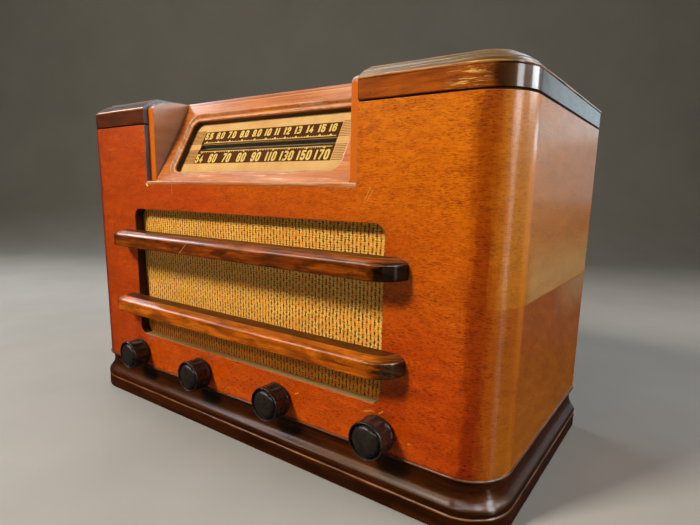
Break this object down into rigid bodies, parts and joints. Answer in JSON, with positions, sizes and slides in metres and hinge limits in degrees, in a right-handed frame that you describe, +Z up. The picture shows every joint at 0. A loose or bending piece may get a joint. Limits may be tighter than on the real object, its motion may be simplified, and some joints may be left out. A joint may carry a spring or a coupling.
{
  "type": "table radio receiver",
  "caption": "Wooden table radio with rounded corners, sloping lit dial in a notch, cloth grille behind two cross bars, and turning control knobs that drive the dial pointer.",
  "frame": {"origin": "middle of the footprint of the whole object, on the surface that it stands on", "axes": "+X to the right seen from the front, +Y from the front towards the back, +Z up"},
  "size_m": [0.4672, 0.235, 0.3015],
  "materials": {
    "veneer": "gloss lacquered mahogany veneer",
    "cap_wood": "gloss lacquered dark walnut",
    "base_wood": "gloss near-black lacquered wood",
    "bar_wood": "gloss lacquered red-brown wood with black ends",
    "dial_wood": "worn satin lacquered wood",
    "top_wood": "gloss lacquered wood",
    "cheek_wood": "gloss lacquered wood",
    "raw_wood": "bare pine and plywood",
    "felt": "felt",
    "screw_metal": "tarnished",
    "cloth": "gold and brown woven grille cloth",
    "board": "bare board",
    "frame_steel": "grey enamel",
    "paper": "pressed paper",
    "magnet_steel": "dark",
    "core_steel": "black enamelled laminations",
    "dial_glass": "clear",
    "dial_print": "printed cream and brown scale with plain numbers",
    "pan_steel": "matt black",
    "pointer_red": "red",
    "lamp_glass": "clear",
    "bakelite": "glossy moulded dark brown",
    "shaft_steel": "bright",
    "plated": "cadmium plated",
    "wafer": "phenolic paper",
    "aluminium": "dull",
    "valve_base": "moulded phenolic",
    "valve_glass": "clear",
    "fibreboard": "pressed brown fibreboard",
    "rubber": "black"
  },
  "bodies": {
    "cabinet": {"front_panel": "veneer", "left_side": "veneer", "right_side": "veneer", "base_moulding": "base_wood", "base_back_rail": "raw_wood", "bottom_board": "raw_wood", "corner_blocks": "raw_wood", "foot_pads": "felt", "left_cap": "cap_wood", "right_cap": "cap_wood", "top_panel": "top_wood", "left_cheek": "cheek_wood", "right_cheek": "cheek_wood", "upper_bar": "bar_wood", "lower_bar": "bar_wood", "bar_screws": "screw_metal", "grille_cloth": "cloth", "speaker_board": "board", "speaker_basket": "frame_steel", "speaker_cone": "paper", "speaker_magnet": "magnet_steel", "output_transformer": "core_steel", "dial_frame": "dial_wood", "dial_glass": "dial_glass", "dial_plate": "dial_print", "dial_pan": "pan_steel", "dial_lamps": "lamp_glass", "lamp_sockets": "screw_metal", "knob_felts": "felt", "volume_control": "plated", "tone_control": "plated", "band_switch": "wafer", "tuning_bushing": "screw_metal", "control_nuts": "plated", "capacitor_stators": "aluminium", "capacitor_frame": "plated", "chassis": "plated", "chassis_bolts": "plated", "tube_sockets": "wafer", "tube_bases": "valve_base", "tubes": "valve_glass", "coil_cans": "aluminium", "power_transformer": "core_steel", "filter_can": "aluminium", "back_cleats": "raw_wood", "back_cover": "fibreboard", "back_screws": "screw_metal", "terminal_strip": "wafer", "cord_grommet": "rubber"},
    "volume": {"volume_knob": "bakelite", "volume_shaft": "shaft_steel"},
    "tone": {"tone_knob": "bakelite", "tone_shaft": "shaft_steel"},
    "band": {"band_knob": "bakelite", "band_shaft": "shaft_steel"},
    "tuning": {"tuning_knob": "bakelite", "tuning_shaft": "shaft_steel"},
    "tuning_gang": {"capacitor_rotor": "aluminium", "dial_drum": "aluminium"},
    "pointer": {"dial_pointer": "pointer_red"}
  },
  "joints": [
    {"name": "volume_turn", "type": "hinge", "parent": "cabinet", "child": "volume", "pos_m": [-0.1449, -0.0965, 0.052], "axis": [0, 1, 0], "range_deg": [0, 300]},
    {"name": "tone_turn", "type": "hinge", "parent": "cabinet", "child": "tone", "pos_m": [-0.0483, -0.0965, 0.052], "axis": [0, 1, 0], "range_deg": [-150, 150]},
    {"name": "band_turn", "type": "hinge", "parent": "cabinet", "child": "band", "pos_m": [0.0483, -0.0965, 0.052], "axis": [0, 1, 0], "range_deg": [0, 30]},
    {"name": "gang_turn", "type": "hinge", "parent": "cabinet", "child": "tuning_gang", "pos_m": [0.075, -0.0965, 0.11], "axis": [0, 1, 0], "range_deg": [-180, 0]},
    {"name": "tuning_turn", "type": "hinge", "parent": "cabinet", "child": "tuning", "pos_m": [0.1449, -0.0965, 0.052], "axis": [0, 1, 0], "range_deg": [-2150, 0]},
    {"name": "pointer_slide", "type": "slide", "parent": "cabinet", "child": "pointer", "axis": [1, 0, 0], "range_m": [-0.1502, 0]}
  ],
  "couplings": [
    {"joint": "tuning_turn", "follows": "gang_turn", "ratio": 11.937},
    {"joint": "pointer_slide", "follows": "gang_turn", "m_per_rad": 0.047746}
  ]
}
